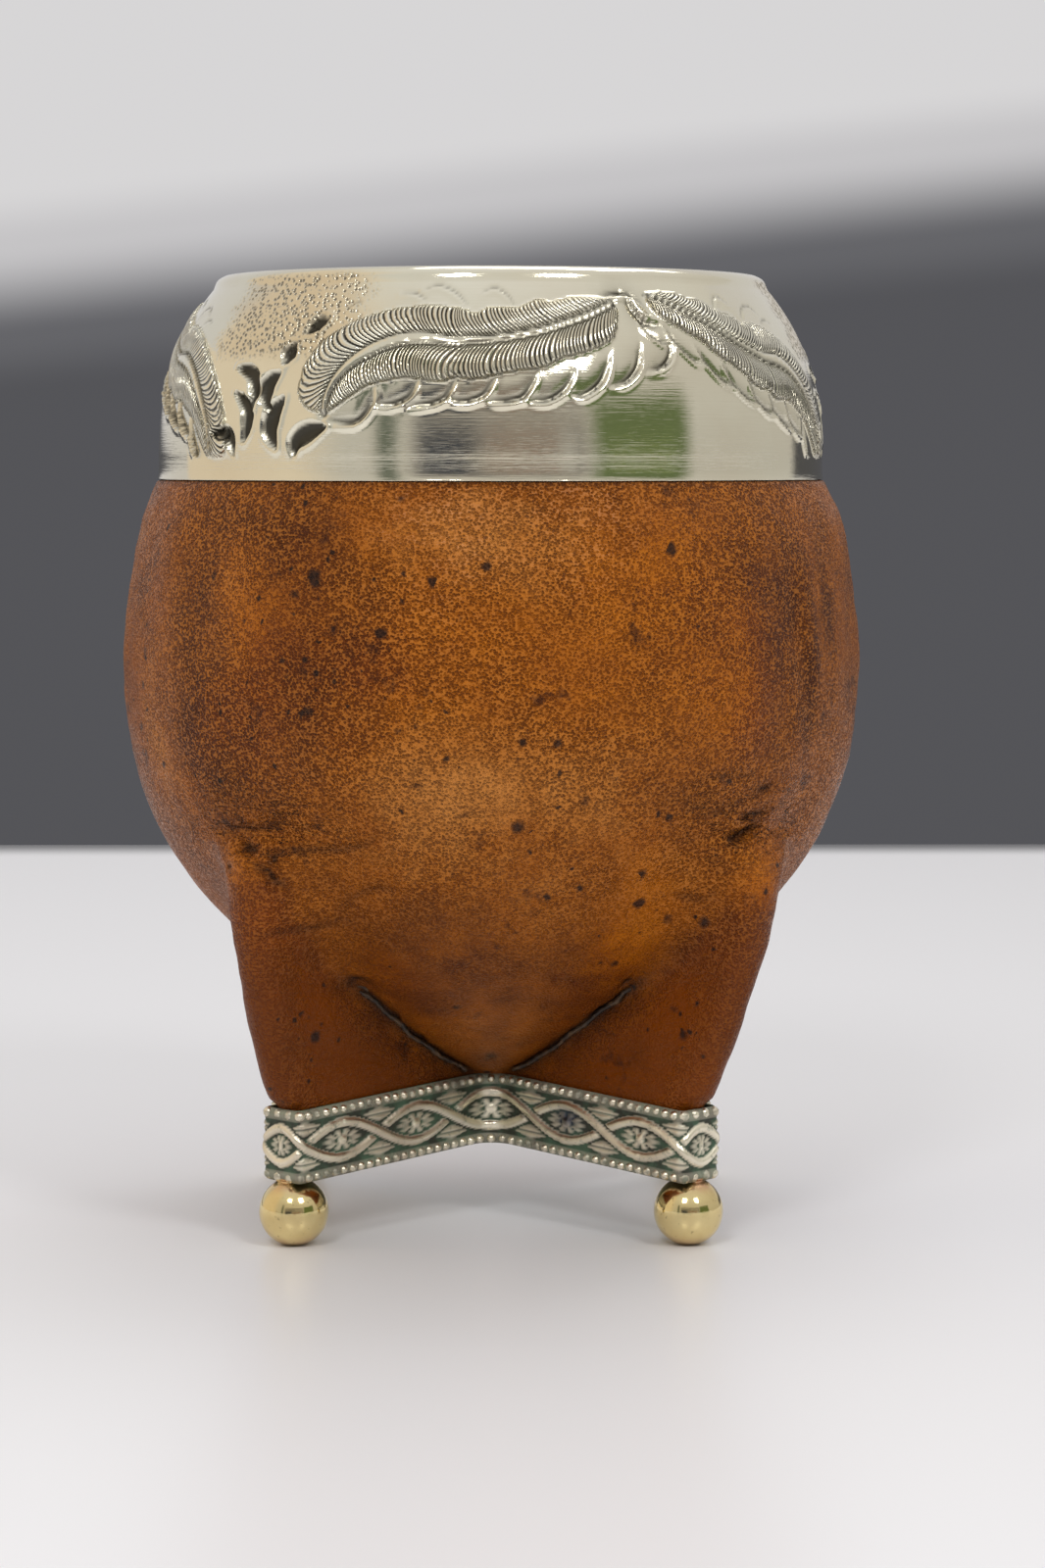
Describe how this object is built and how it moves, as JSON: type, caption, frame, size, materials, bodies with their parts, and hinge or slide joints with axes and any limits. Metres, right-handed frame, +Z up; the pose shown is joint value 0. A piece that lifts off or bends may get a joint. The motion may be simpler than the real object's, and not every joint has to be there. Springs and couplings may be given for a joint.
{
  "type": "mate gourd cup",
  "caption": "Hide-covered calabash cup for mate with a chased metal rim and four hide fins standing in a cross-shaped metal shoe on ball feet.",
  "frame": {"origin": "on the floor, at the middle of the cup's outline", "axes": "+Z up through the mouth, front of the cup towards -Y, +X to the right as seen from the front"},
  "size_m": [0.0898, 0.0898, 0.1144],
  "materials": {
    "gourd": "matt dried calabash",
    "hide": "satin vegetable-tanned hide",
    "nickel_silver": "polished and chased",
    "nickel_silver_strip": "cast relief with dark recesses",
    "brass": "polished",
    "thong": "waxed dark lace"
  },
  "bodies": {
    "root": {"gourd_shell": "gourd", "hide_cover": "hide", "rim_ring": "nickel_silver", "base_shoe": "nickel_silver_strip", "ball_foot_front_left": "brass", "ball_foot_front_right": "brass", "ball_foot_back_right": "brass", "ball_foot_back_left": "brass", "lace_front_left": "thong", "lace_front_right": "thong", "lace_back_right": "thong", "lace_back_left": "thong"}
  },
  "joints": []
}
